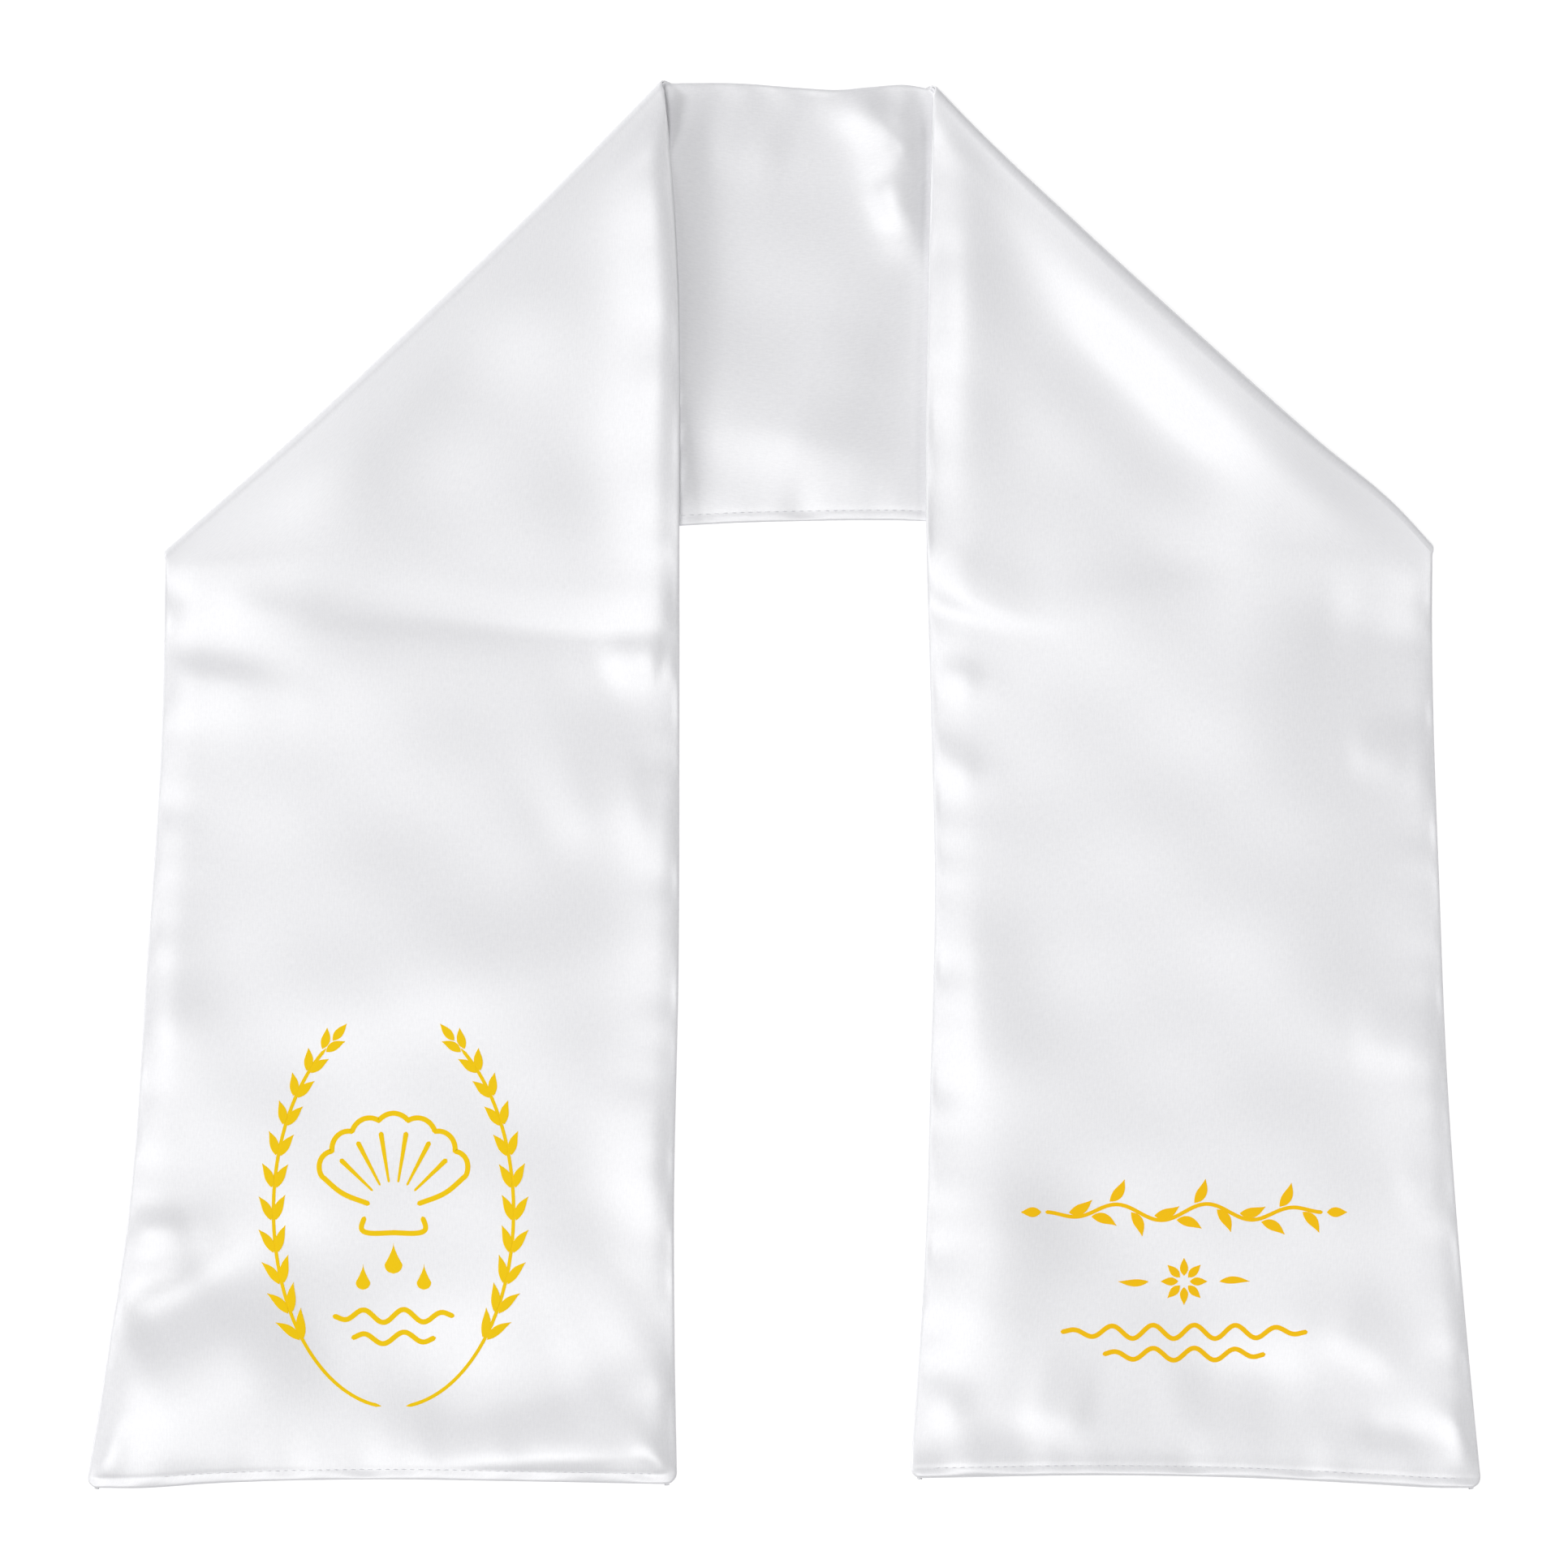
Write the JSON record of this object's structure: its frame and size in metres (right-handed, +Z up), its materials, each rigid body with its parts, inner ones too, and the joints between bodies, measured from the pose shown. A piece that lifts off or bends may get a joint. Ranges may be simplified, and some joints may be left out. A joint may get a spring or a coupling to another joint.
{
  "type": "baptism stole",
  "caption": "White satin band with a gold print, folded over at each shoulder and laid flat with its ends side by side; worn round the neck at a baptism.",
  "frame": {"origin": "on the surface that the stole lies on, under the middle of its outline seen from above", "axes": "+Z up out of the surface, +Y from the hems towards the neck, +X to the right with the neck at the top"},
  "size_m": [0.4117, 0.4164, 0.0086],
  "materials": {
    "back_satin": "white polyester satin",
    "front_satin": "white polyester satin",
    "gold_print": "golden yellow print on the satin",
    "sewing_thread": "white polyester sewing thread"
  },
  "bodies": {
    "root": {"back_panel": "back_satin", "front_panel": "front_satin"}
  },
  "joints": []
}
